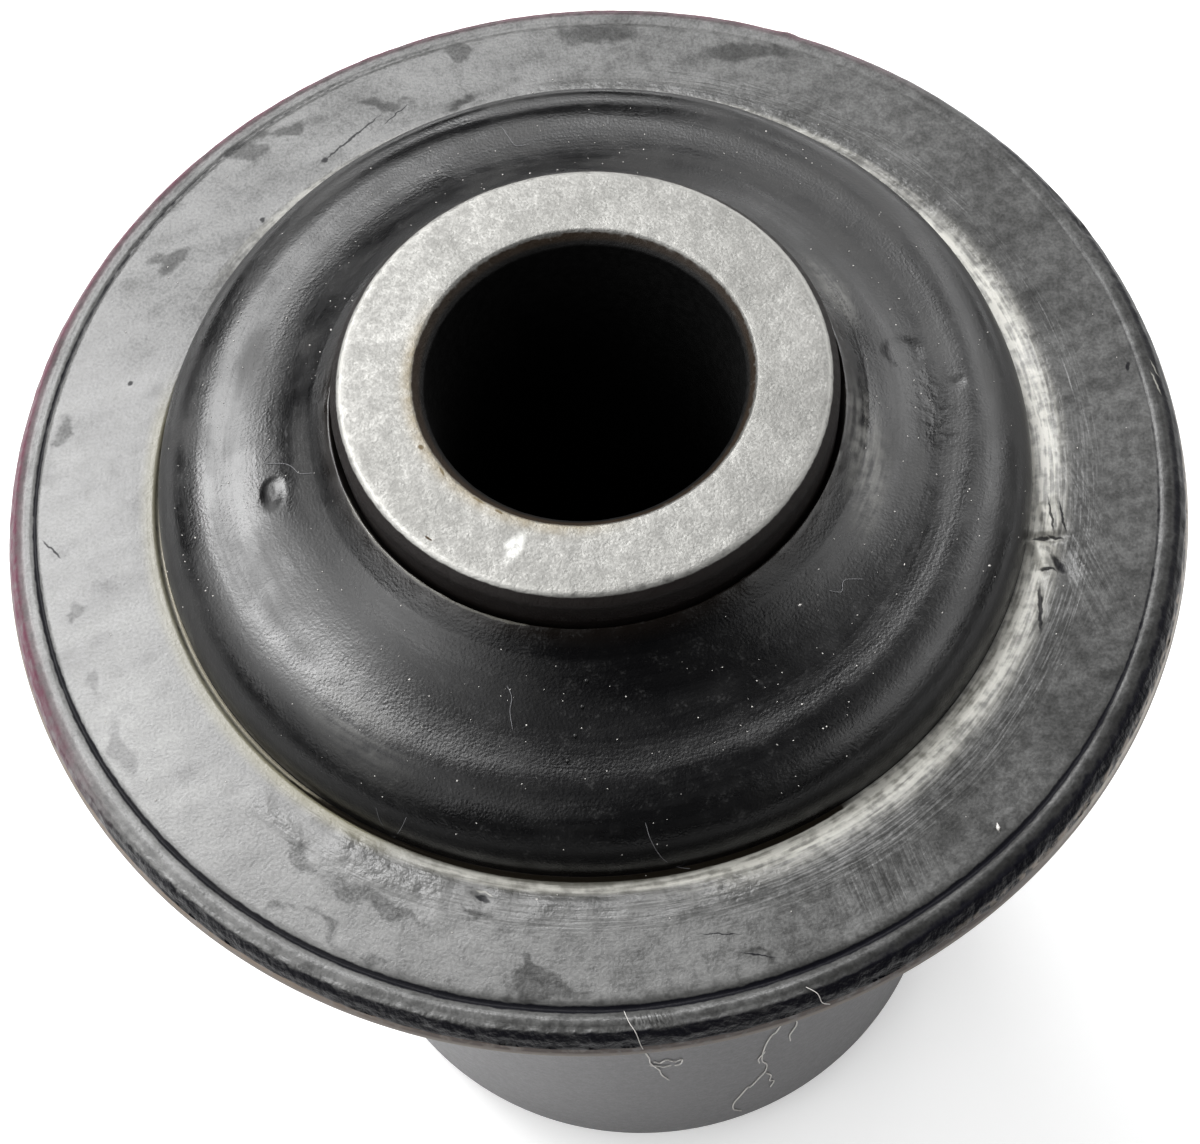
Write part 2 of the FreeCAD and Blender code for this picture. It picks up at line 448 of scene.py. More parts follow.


# Values that the dome's material reads: its thin edge, its painted shine by side, scuffs that are thinned on
# the near side as painted shade, and painted reflection patches
def paintDome(piece, rings, angles):
    azimuth = np.degrees(angles)[None, :]
    r = rings[:, :1]
    points = surfacePoints(rings, angles)
    inside = insideCrease(rings, angles)
    radius, width = domePaint["feather"]
    share, more, sector = domePaint["featherShares"]
    paint(piece, "feather", inside * bell(r - radius, width) * (share + more * sectorShare(azimuth, *sector)))
    cone, crest = (np.interp(azimuth, *zip(*domePaint[name])) for name in ("paintedShine", "crestPaintedShine"))
    onCrest = band(r, *domePaint["crest"])
    lost, radii = domePaint["flank"]
    paint(piece, "paintedShine", (cone * (1 - onCrest) + crest * onCrest) * (1 - lost * rise(r, *radii)))
    share, turns, width, seed = domePaint["sweeps"]
    circles = [turns * np.cos(angles) + 0 * r, turns * np.sin(angles) + 0 * r, r / width + 0 * azimuth]
    scuff = domePaint["scuff"] + ripples(points, domePaint["scuffLumps"])
    scuff += share * lumps(np.stack(circles, -1), 1.0, seed)
    # Fewer scuffs on the near side: painted shade
    nearShade, sector = domePaint["nearShade"]
    scuff *= 1 - nearShade * sectorShare(azimuth, *sector)
    paint(piece, "scuff", np.clip(scuff, 0, domePaint["scuffMost"]))
    paint(piece, "paintedReflection", np.clip(strokes(rings, angles, domePaint["paintedReflection"]), 0, 1) * inside)


# Rows are (share, radii where it comes in, radii where it goes out, sector), where not said
padPaint = {
    # a painted highlight along the line of flash at the left crease
    "flash": [(1.0, (20.61, 20.69), (20.72, 20.8), (200, 38, 20))],
    "yellow": [
        (0.55, (20.75, 20.95), (21.1, 21.8), (200, 32, 12)),
        (0.22, (20.75, 20.95), (21.1, 21.8), (275, 50, 20)),
    ],
    # brown-black painted shade in the crease beside the dome
    "brown": [
        (1.0, fromTheSleeve, (20.8, 21.02), (262, 24, 20)),
        (0.45, (20.7, 20.86), (20.92, 21.08), (200, 32, 12)),
    ],
    "brownAtSleeve": [(0.9, fromTheSleeve, (11.5, 12.4), allRound)],
    # (azimuth, share) of the grey bloom, partly the bloom and partly painted light, paler at the left
    "palenessAndLight": [
        (0, 1.0), (30, 0.7), (60, 0.98), (90, 1.2), (120, 1.15), (150, 1.15), (180, 2.2),
        (210, 2.9), (240, 1.85), (268, 1.45), (285, 1.05), (300, 0.78), (330, 0.78), (360, 1.0),
    ],
    "toneLumps": [(0.2, 3.4, 33), (0.14, 1.5, 34)],
    "wipedLumps": [(0.3, 1.8, 35)],
    "wipeTurn": [[0.94, -0.34, 0], [0.34, 0.94, 0], [0, 0, 1]],
    "wipeScale": [0.35, 1.7, 1],
    "beadShade": [
        (0.12, (26.7, 27.0), toTheEdge, allRound),
        (0.2, (26.7, 27.0), toTheEdge, (235, 25, 20)),
        (0.4, (26.7, 27.0), toTheEdge, (330, 35, 20)),
    ],
    # from above, with a ragged edge: (azimuth, radius), (length, width), tilt
    "stains": [
        ((190.6, 25.2), (1.4, 0.7), 21), ((199, 25.4), (1.4, 0.6), -8), ((207.4, 25.5), (2.8, 0.9), 12),
        ((258.9, 25.95), (3.6, 0.7), 0), ((258.1, 25.5), (2.5, 0.6), 0), ((257.3, 25.05), (1.5, 0.6), 0),
        ((256.7, 24.65), (0.6, 0.7), 0), ((232, 25.5), (2.2, 0.6), -29), ((237, 25.6), (3.0, 0.6), 23),
        ((241.8, 26.05), (1.8, 0.5), 0), ((279.5, 25.4), (1.5, 0.4), 27), ((83.1, 25.7), (4.4, 1.4), 0),
        ((65.2, 25.6), (5.4, 1.1), 164), ((127, 25.9), (2.2, 1.4), 20), ((121.8, 25.5), (1.9, 1.1), 0),
        ((99.7, 25.6), (1.3, 1.3), 90), ((101.5, 22.5), (0.7, 1.4), 90), ((110.5, 24.2), (3.0, 0.6), -151),
        ((240.4, 23.7), (6.5, 0.8), 2), ((231, 23.4), (2.6, 0.7), 12), ((251, 22.9), (2.4, 0.5), 20),
        ((144, 24.6), (3.0, 1.0), 40), ((168, 25.6), (2.2, 0.8), 10),
    ],
    "stainSoftness": 0.7,
    # how far the stains' outlines wander around and outwards
    "stainWarp": ([(0.9, 1.1, 38), (0.5, 0.5, 44)], [(0.5, 0.9, 45), (0.3, 0.45, 46)]),
    "smear": 0.28,
    "smearWiped": [(0.5, 1.5, 39)],
    "smearLumps": [(0.4, 1.1, 40)],
    # a painted highlight along the rolled inner rim, where the lip catches the light
    "lipHighlight": [
        (0.85, (20.6, 20.7), (21.2, 22.7), (335, 42, 26)),
        (0.75, (20.6, 20.7), (21.0, 21.7), (35, 22, 40)),
        (0.75, (20.88, 21.12), (21.33, 21.57), (268, 16, 20)),
        (0.45, (21.1, 21.4), (21.8, 22.1), (88, 38, 25)),
    ],
    "lipHighlightMost": 0.9,
}


# Values that the pad's material reads: a painted highlight along the lip, the tone of the bloom with painted
# light by side, painted shade at the crease, and its stains
def paintPad(piece, rings, angles):
    azimuth = np.degrees(angles)[None, :]
    points = surfacePoints(rings, angles)
    inside = insideCrease(rings, angles)
    paint(piece, "flash", zones(rings, angles, padPaint["flash"]))
    paint(piece, "yellow", (1 - inside) * zones(rings, angles, padPaint["yellow"]))
    # Brown-black at the pad's crease is painted shade; near the sleeve the dome's rubber is browner
    brown = (1 - inside) * zones(rings, angles, padPaint["brown"])
    paint(piece, "brown", brown + inside * zones(rings, angles, padPaint["brownAtSleeve"]))
    wiped = points @ np.array(padPaint["wipeTurn"]) * np.array(padPaint["wipeScale"])
    tone = np.interp(azimuth, *zip(*padPaint["palenessAndLight"])) * (1 + ripples(points, padPaint["toneLumps"]))
    tone *= 1 + ripples(wiped, padPaint["wipedLumps"])
    paint(piece, "tone", tone * (1 - zones(rings, angles, padPaint["beadShade"])))
    warp = [ripples(points, layers) for layers in padPaint["stainWarp"]]
    soft = padPaint["stainSoftness"]
    stains = [stroke(rings, angles, *row, soft, warp) for row in padPaint["stains"]]
    paint(piece, "stain", np.max(stains, axis=0))
    smear = padPaint["smear"] + ripples(wiped, padPaint["smearWiped"])
    paint(piece, "smear", smear + ripples(points, padPaint["smearLumps"]))
    paint(piece, "lipHighlight", np.clip(zones(rings, angles, padPaint["lipHighlight"]), 0, padPaint["lipHighlightMost"]))


rimPaint = {
    "near": (275, 50, 20),
    "edge": (27.75, -0.2, 0.15),  # radius where the dark edge begins, shift on the near side, softness
    "edgeDark": (0.42, 0.2),  # all round, more on the near side
    "grooveDark": (6.0, 0.07, 0.4),  # share for its depth, width, more width for its depth
    "dark": [
        (0.2, (26.72, 26.88), (27.52, 27.68), (330, 60, 20)),
        (0.3, (27.1, 27.4), (27.65, 27.95), (345, 45, 20)),
        (0.26, (21.75, 22.25), (22.55, 23.05), (42, 40, 15)),
    ],
    "purple": [
        (0.35, (26.9, 27.3), toTheEdge, (128, 66, 22)),
        (0.65, (27.3, 27.55), toTheEdge, (128, 66, 22)),
    ],
    "rimGrey": [(1.0, (27.86, 27.94), toTheEdge, (350, 40, 20))],
}


# Values for the dark groove, painted darker where it is deeper as painted shade, for the dark bead, and for
# the coloured films on the bead
def paintRim(piece, rings, angles):
    azimuth = np.degrees(angles)[None, :]
    r = rings[:, :1]
    near = sectorShare(azimuth, *rimPaint["near"])
    start, shift, soft = rimPaint["edge"]
    start = start + shift * near
    share, more = rimPaint["edgeDark"]
    dark = (share + more * near) * rise(r, start - soft, start + soft)
    # Painted shade in the groove, darker where it is deeper
    depths, _ = grooveSizes(angles)
    share, width, wider = rimPaint["grooveDark"]
    dark += np.minimum(share * depths, 1.0) * bell(r - groove["radius"], width + wider * depths)
    paint(piece, "dark", dark + zones(rings, angles, rimPaint["dark"]))
    paint(piece, "purple", zones(rings, angles, rimPaint["purple"]))
    paint(piece, "rimGrey", zones(rings, angles, rimPaint["rimGrey"]))


grainPaint = {
    "scraped": (0.3, (240.4, 23.5), (8.5, 2.0), 2, 0.6),
    "scrapedLumps": (0.5, 1.5, 36),  # even part, size, seed
    "knock": (0.35, (337.5, 22.0), (3.0, 1.4), 150, 0.5),
    "flaked": [(0.9, (21.2, 21.8), (22.5, 23.1), (254, 26, 10))],
    "flakedLumps": (1.8, 43),
    "flakedRise": (-0.3, 0.4),
    "pitted": [
        (0.6, (21.4, 22.0), (22.4, 23.0), (42, 42, 15)),
        (0.9, (27.3, 27.6), toTheEdge, (275, 50, 20)),
        (0.2, (26.8, 27.1), toTheEdge, allRound),
    ],
    "domePits": [
        (0.7, (355, 15.6), (5.4, 2.0), 160, 0.6),
        (0.5, (220.5, 17.0), (1.5, 0.5), -23, 0.5),
    ],
    "brushed": [
        (0.8, (20.9, 21.9), (23.3, 24.3), (0, 62, 25)),
        (0.5, (21.0, 21.6), (22.9, 23.5), (262, 34, 15)),
        (0.12, fromTheSleeve, toTheEdge, allRound),
    ],
    "combed": [
        (0.45, (338, 23.5), (5.6, 2.4), 145, 0.9),
        (0.45, (349, 22.9), (5.0, 1.3), 155, 0.9),
        (1.0, (268.6, 27.2), (1.8, 0.6), 0, 0.6),
        (0.45, (294.5, 24.6), (4.6, 2.6), 0, 0.7),
    ],
}


# Values for the bumps: pits, brushed rings and combed scratches
def paintGrain(piece, rings, angles):
    points = surfacePoints(rings, angles)
    even, size, seed = grainPaint["scrapedLumps"]
    pitted = strokes(rings, angles, [grainPaint["scraped"]]) * (even + lumps(points, size, seed))
    pitted += strokes(rings, angles, [grainPaint["knock"]])
    flaked = rise(lumps(points, *grainPaint["flakedLumps"]), *grainPaint["flakedRise"])
    pitted += zones(rings, angles, grainPaint["flaked"]) * flaked
    pitted += zones(rings, angles, grainPaint["pitted"])
    pitted += insideCrease(rings, angles) * strokes(rings, angles, grainPaint["domePits"])
    paint(piece, "pitted", np.clip(pitted, 0, 1))
    paint(piece, "brushed", np.clip(zones(rings, angles, grainPaint["brushed"]), 0, 1))
    paint(piece, "combed", np.clip(strokes(rings, angles, grainPaint["combed"]), 0, 1))


def buildRubber():
    rings = ringsAlong(rubberUpperCorners() + rubberLowerCorners())
    angles = spokeAngles(rubber["spokes"], rubber["finer"])
    piece = turnedPiece("rubber", rings, angles, rubberRelief(rings, angles) + markRelief(rings, angles))
    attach(piece, "root")
    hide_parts("rubber_body")
    for paintPart in (paintDome, paintPad, paintRim, paintGrain):
        paintPart(piece, rings, angles)
    outside = rings[:, 0] > rubber["crease"][0] + rubber["padStart"]
    outer = outside & (rings[:, 1] > flangeTop + rubber["padLowest"])
    piece.data.materials.append(domeFinish())
    piece.data.materials.append(padFinish())
    piece.data.polygons.foreach_set("material_index", np.repeat(outer.astype(np.int32), len(angles)))
    print("rubber:", len(rings), "rings,", len(piece.data.polygons) * 2, "triangles")
    return piece


# The steel sleeve

sleeve = {
    "spokes": 540,
    "boreRadius": 7.1,
    "mouth": 0.55,
    "edge": 0.5,
    "bareWall": 3.2,  # height of the wall that shows above the rubber
    "grain": [(0.008, 1.1, 11), (0.012, 0.5, 12)],  # depth, size of the lumps, seed
    "grainSunk": 0.016,  # keeps the grain below the face
    "grainLevels": (-1.2, -0.4),  # from the top
}


def sleeveCorners():
    bore, mouth, edge = sleeve["boreRadius"], sleeve["mouth"], sleeve["edge"]
    top, outer = sleeveTop, sleeveRadius
    return [
        (bore, mouth, 0, 8.0),
        (bore, top - mouth, 0.2, 0.12),
        (bore + mouth, top, 0.15, 0.25),
        (outer - edge, top, 0.3, 0.15),
        (outer, top - edge, 0.3, 0.2),
        (outer, top - sleeve["bareWall"], 0, 12.0),
        (outer, edge, 0.1, 0.3),
        (outer - edge, 0, 0.1, 1.0),
        (bore + mouth, 0, 0.1, 0.3),
    ]


def sleeveRelief(rings, angles):
    grain = ripples(surfacePoints(rings, angles), sleeve["grain"]) - sleeve["grainSunk"]
    return rise(rings[:, 1:] - sleeveTop, *sleeve["grainLevels"]) * grain


sleevePaint = {
    "upper": 4,  # height of the end that is painted
    "bore": (0.12, 0.3),  # distances from the bore's wall
    "leadIn": (-0.2, 0.12),  # distances from the mouth's radius
    "leadInSector": (215, 50, 30),
    "drop": (0.1, 0.26),  # below the top
    "wall": (-0.5, -0.3),  # distances from the sleeve's radius
    "edgeHighlight": (-0.46, 0.12),  # distance from the sleeve's radius, width
    "edgeHighlightSector": (190, 60, 30),
    "shares": (0.75, 0.25),  # all round, more in the sector
    "cloud": 0.25,
    "cloudLumps": [(0.2, 2.6, 41), (0.15, 0.9, 42)],
    "yellow": (0.05, 0.35),  # distance from the mouth's radius, width
    "yellowSector": (210, 45, 30),
}


def paintSleeve(piece, rings, angles):
    azimuth = np.degrees(angles)[None, :]
    r, drop = rings[:, :1], sleeveTop - rings[:, 1:]
    everywhere = 1 + 0 * azimuth
    upper = (drop < sleevePaint["upper"]).astype(float)
    bore = r - sleeve["boreRadius"]
    mouth = bore - sleeve["mouth"]
    outer = r - sleeveRadius
    share, more = sleevePaint["shares"]
    # The bore's wall, which is painted black as shade
    paint(piece, "bore", (1 - rise(bore, *sleevePaint["bore"])) * everywhere)
    brown = share + more * sectorShare(azimuth, *sleevePaint["leadInSector"])
    paint(piece, "leadIn", upper * (1 - rise(mouth, *sleevePaint["leadIn"])) * brown)
    low = rise(drop, *sleevePaint["drop"])
    paint(piece, "wall", upper * rise(outer, *sleevePaint["wall"]) * low * everywhere)
    # A painted highlight along the rounded outer edge of the face, stronger at the left
    away, width = sleevePaint["edgeHighlight"]
    bright = share + more * sectorShare(azimuth, *sleevePaint["edgeHighlightSector"])
    paint(piece, "edgeHighlight", bell(outer - away, width) * (1 - low) * bright)
    clouds = ripples(surfacePoints(rings, angles), sleevePaint["cloudLumps"])
    paint(piece, "cloud", sleevePaint["cloud"] + clouds)
    away, width = sleevePaint["yellow"]
    stained = sectorShare(azimuth, *sleevePaint["yellowSector"])
    paint(piece, "yellow", upper * bell(mouth - away, width) * stained)


def buildSleeve():
    rings = ringsAlong(sleeveCorners())
    angles = spokeAngles(sleeve["spokes"])
    piece = turnedPiece("sleeve", rings, angles, sleeveRelief(rings, angles))
    paintSleeve(piece, rings, angles)
    piece.data.materials.append(sleeveFinish())
    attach(piece, "root")
    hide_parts("inner_sleeve")
    print("sleeve:", len(rings), "rings,", len(piece.data.polygons) * 2, "triangles")
    return piece


# The drawn shell

shell = {
    "spokes": 480,
    "leadIn": (1.2, 0.4),
    "edgeFace": (28.05, -0.6),
}


def shellCorners():
    leadLength, leadDepth = shell["leadIn"]
    low = shellLow.z
    under = flangeTop - sheet
    edgeR, edgeZ = shell["edgeFace"]
    topR, topZ = rubber["edgeTop"]
    return [
        (shellInner, low, 0.05, 0.6),
        (shellRadius - leadDepth, low, 0.1, 0.3),
        (shellRadius, low + leadLength, 0.5, 1.5),
        (shellRadius, under, bend, 0.6),
        (flangeEdge, under, 0.08, 0.12),
        (edgeR, flangeTop + edgeZ, 0.05, 0.4),
        (topR, flangeTop + topZ, 0, 4.0),
        (shellInner, flangeTop, sheet + bend, 12.0),
    ]


shellPaint = {
    "edge": (27.98, 28.03),
    "edgeLevels": (-0.03, 0.02),  # from the flange's underside
    "films": {"tan": (205, 45, 20), "reddish": (282, 30, 20), "grey": (355, 35, 20), "purple": (100, 60, 20)},
    "lowEdgeHighlight": (28.14, 28.18),
    "lowEdgeHighlightSector": (275, 70, 20),
}


# Shares of the coloured films on the flange's bare edge, and of a painted highlight along its lower edge
def paintShell(piece, rings, angles):
    azimuth = np.degrees(angles)[None, :]
    r, level = rings[:, :1], rings[:, 1:] - flangeTop + sheet
    edge = rise(r, *shellPaint["edge"]) * rise(level, *shellPaint["edgeLevels"])
    for name, sector in shellPaint["films"].items():
        paint(piece, name, edge * sectorShare(azimuth, *sector))
    # A painted highlight along the rounded lower edge of the flange
    line = rise(r, *shellPaint["lowEdgeHighlight"])
    paint(piece, "lowEdgeHighlight", line * sectorShare(azimuth, *shellPaint["lowEdgeHighlightSector"]))


def buildShell():
    rings = ringsAlong(shellCorners())[::-1]
    angles = spokeAngles(shell["spokes"])
    piece = turnedPiece("shell", rings, angles, np.zeros((len(rings), len(angles))))
    paintShell(piece, rings, angles)
    piece.data.materials.append(shellFinish())
    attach(piece, "root")
    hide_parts("outer_shell")
    print("shell:", len(rings), "rings,", len(piece.data.polygons) * 2, "triangles")
    return piece


# Lint, dust and other small things that lie on the bush

# Height of the free rubber above a radius
def rubberHeight(radius):
    rings = ringsAlong(rubberUpperCorners() + rubberLowerCorners())
    rings = rings[1:np.argmax(rings[:, 0]) + 1]
    return np.interp(radius, rings[:, 0], rings[:, 1])


# Smooth route through the points, with extra points between them
def smoothRoute(points, between=8):
    points = [np.array(p, float) for p in points]
    points = [2 * points[0] - points[1]] + points + [2 * points[-1] - points[-2]]
    route = []
    for a, b, c, d in zip(points, points[1:], points[2:], points[3:]):
        for k in range(between):
            t = k / between
            square = 2 * a - 5 * b + 4 * c - d
            cube = 3 * b - a - 3 * c + d
            route.append(0.5 * (2 * b + (c - a) * t + square * t * t + cube * t ** 3))
    return np.array(route + [points[-2]])


# Joins several meshes given as (points, faces) into one piece
def joinedPiece(name, parts, material):
    points, faces = [], []
    for own, ownFaces in parts:
        faces.extend([tuple(i + len(points) for i in face) for face in ownFaces])
        points.extend(own)
    mesh = bpy.data.meshes.new(name)
    mesh.from_pydata([tuple(c * mm for c in point) for point in points], [], faces)
    mesh.shade_smooth()
    mesh.materials.append(material)
    piece = bpy.data.objects.new(name, mesh)
    bpy.context.scene.collection.objects.link(piece)
    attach(piece, "root")
    print(name + ":", len(faces), "faces")
    return piece


# A thread along a route. Its two ends are thinner, and the skew is only a direction that no
# route runs in.
def tube(route, radius, sides=5, thinEnd=0.4, skew=(0.31, 0.2, 0.93)):
    points, faces = [], []
    for i, centre in enumerate(route):
        ahead = route[min(i + 1, len(route) - 1)] - route[max(i - 1, 0)]
        ahead = ahead / np.linalg.norm(ahead)
        across = np.cross(ahead, skew)
        across /= np.linalg.norm(across)
        third = np.cross(ahead, across)
        taper = radius * (thinEnd if i in (0, len(route) - 1) else 1)
        for k in range(sides):
            a = 2 * math.pi * k / sides
            points.append(centre + taper * (math.cos(a) * across + math.sin(a) * third))
    for i in range(len(route) - 1):
        for k in range(sides):
            n = (k + 1) % sides
            faces.append((i * sides + k, i * sides + n, (i + 1) * sides + n, (i + 1) * sides + k))
    return points, faces


lint = {
    "thickness": 0.045,
    "rimShare": 0.4,  # of the thickness
    "rubberShare": 0.3,
    "offBarrel": 1.6,  # times the thickness
    "offRubber": 0.04,
    "white": (0.7, 0.68, 0.65),
    "grey": (0.22, 0.22, 0.23),
    "roughness": 0.8,
    # (azimuth, height) on the barrel
    "barrel": [
        [
            (264.2, 32.5), (264.9, 31.0), (265.4, 29.2), (266.3, 26.6),
            (266.4, 25.1), (267.6, 23.2), (267.9, 21.8), (269.0, 20.1),
        ],
        [
            (266.9, 25.5), (267.9, 25.0), (269.0, 25.6), (270.3, 24.9),
            (271.5, 25.2), (271.2, 24.1), (270.2, 23.9),
        ],
        [(266.2, 24.6), (267.4, 24.3), (268.4, 23.9), (269.7, 24.1)],
        [
            (290.9, 29.5), (289.9, 28.6), (289.1, 27.4), (287.7, 24.9), (286.7, 24.3), (285.7, 22.3),
            (285.2, 19.0), (286.2, 17.0), (286.0, 15.2), (284.8, 13.9), (283.4, 12.4), (282.6, 12.3),
            (281.3, 10.6), (280.1, 9.0), (280.0, 7.1), (280.7, 6.3), (281.6, 5.6),
        ],
        [(291.9, 28.6), (291.0, 26.4), (291.4, 24.0), (290.3, 22.2), (290.5, 20.4)],
        [(286.1, 14.6), (287.2, 13.2), (287.0, 11.8), (287.9, 11.0), (287.2, 9.6)],
        [(285.8, 20.8), (284.6, 19.6), (284.8, 18.2)],
    ],
    # (azimuth, radius, height) over the edge of the flange
    "rim": [
        [
            (266.2, 26.7, 59.87), (266.6, 27.2, 59.84), (267.1, 27.6, 59.66),
            (267.4, 28.0, 59.2), (267.6, 28.15, 58.8),
        ],
        [(282.6, 27.3, 59.8), (283.4, 27.7, 59.6), (283.6, 28.05, 59.2), (284.3, 28.15, 58.8)],
    ],
    # (azimuth, radius) on the rubber
    "rubber": [
        [
            (177.5, 15.0), (179.2, 14.6), (181.0, 14.9), (182.6, 14.0),
            (184.2, 13.6), (186.4, 13.3), (187.9, 12.7),
        ],
        [(236.0, 20.2), (236.8, 20.5), (238.0, 20.6), (239.4, 20.5), (240.2, 20.1)],
        [(270.4, 19.4), (270.8, 20.0), (271.9, 20.5), (273.6, 20.6), (275.0, 20.8)],
        [(249.0, 13.9), (250.2, 14.3), (250.4, 14.9), (251.4, 15.6)],
        [(95.0, 16.1), (96.8, 16.2), (97.5, 16.8), (98.2, 17.6)],
        [(312.0, 14.0), (313.5, 14.4), (315.5, 14.2), (318.0, 14.8)],
    ],
}


def buildLint(material, thinMaterial):
    thickness = lint["thickness"]
    parts = []
    for places in lint["barrel"]:
        away = shellRadius + thickness * lint["offBarrel"]
        route = [polarPoint(azimuth, away, z) for azimuth, z in places]
        parts.append(tube(smoothRoute(route), thickness))
    for places in lint["rim"]:
        route = [polarPoint(*place) for place in places]
        parts.append(tube(smoothRoute(route), lint["rimShare"] * thickness))
    joinedPiece("lint", parts, material)
    parts = []
    for places in lint["rubber"]:
        route = [polarPoint(azimuth, r, rubberHeight(r) + lint["offRubber"]) for azimuth, r in places]
        parts.append(tube(smoothRoute(route), lint["rubberShare"] * thickness))
    joinedPiece("thinLint", parts, thinMaterial)


# A small flattened grain
def flake(centre, long, wide, thick, turn):
    ahead = np.array([math.cos(turn), math.sin(turn), 0]) * long / 2
    aside = np.array([-math.sin(turn), math.cos(turn), 0]) * wide / 2
    up = np.array([0, 0, thick / 2])
    points = [centre + ahead, centre + aside, centre - ahead, centre - aside, centre + up, centre - up]
    faces = [(0, 1, 4), (1, 2, 4), (2, 3, 4), (3, 0, 4), (1, 0, 5), (2, 1, 5), (3, 2, 5), (0, 3, 5)]
    return points, faces


dust = {
    "seed": 12,
    "count": 900,
    "radii": (12.2, 26.2),
    "padStart": 20.3,
    "padShare": 0.85,  # share of the grains that is missing on the pad
    "sizes": (0.03, 0.1),
    "big": (0.08, 1.5),  # share of bigger grains, and how much bigger
    "narrowest": 0.5,
    "thick": 0.6,  # times the size
    "offRubber": 0.02,
    # grains that the photograph shows: (azimuth, radius), length, width, tilt
    "placed": [
        ((306.4, 25.84), 0.5, 0.2, 127), ((330.5, 19.3), 0.2, 0.12, 60),
        ((306, 13.6), 0.2, 0.14, 20), ((296, 17.0), 0.14, 0.1, 0),
    ],
    "placedThick": 0.12,
    "placedOff": 0.03,
}


def buildDust(material):
    chance = random.Random(dust["seed"])
    nearest, farthest = dust["radii"]
    bigShare, bigger = dust["big"]
    parts = []
    for _ in range(dust["count"]):
        r = math.sqrt(chance.uniform(nearest ** 2, farthest ** 2))
        if r > dust["padStart"] and chance.random() < dust["padShare"]:
            continue
        size = chance.uniform(*dust["sizes"]) * (bigger if chance.random() < bigShare else 1)
        centre = polarPoint(chance.uniform(0, 360), r, rubberHeight(r) + dust["offRubber"])
        width = size * chance.uniform(dust["narrowest"], 1)
        parts.append(flake(centre, size, width, size * dust["thick"], chance.uniform(0, math.pi)))
    for (azimuth, r), long, wide, tilt in dust["placed"]:
        centre = polarPoint(azimuth, r, rubberHeight(r) + dust["placedOff"])
        parts.append(flake(centre, long, wide, dust["placedThick"], math.radians(azimuth + 90 - tilt)))
    return joinedPiece("dust", parts, material)


# Four small nubs that the mould left in a row on the near side of the dome
nubs = {
    "places": [(263.2, 13.4), (262.4, 14.4), (261.3, 15.6), (260.3, 16.7)],
    "width": 0.3,
    "height": 0.22,
    "black": (0.012, 0.012, 0.012),
    "roughness": 0.3,
}


def buildNubs(material):
    width, height = nubs["width"], nubs["height"]
    centres = [polarPoint(azimuth, r, rubberHeight(r)) for azimuth, r in nubs["places"]]
    return joinedPiece("nubs", [flake(centre, width, width, height, 0) for centre in centres], material)


# Materials

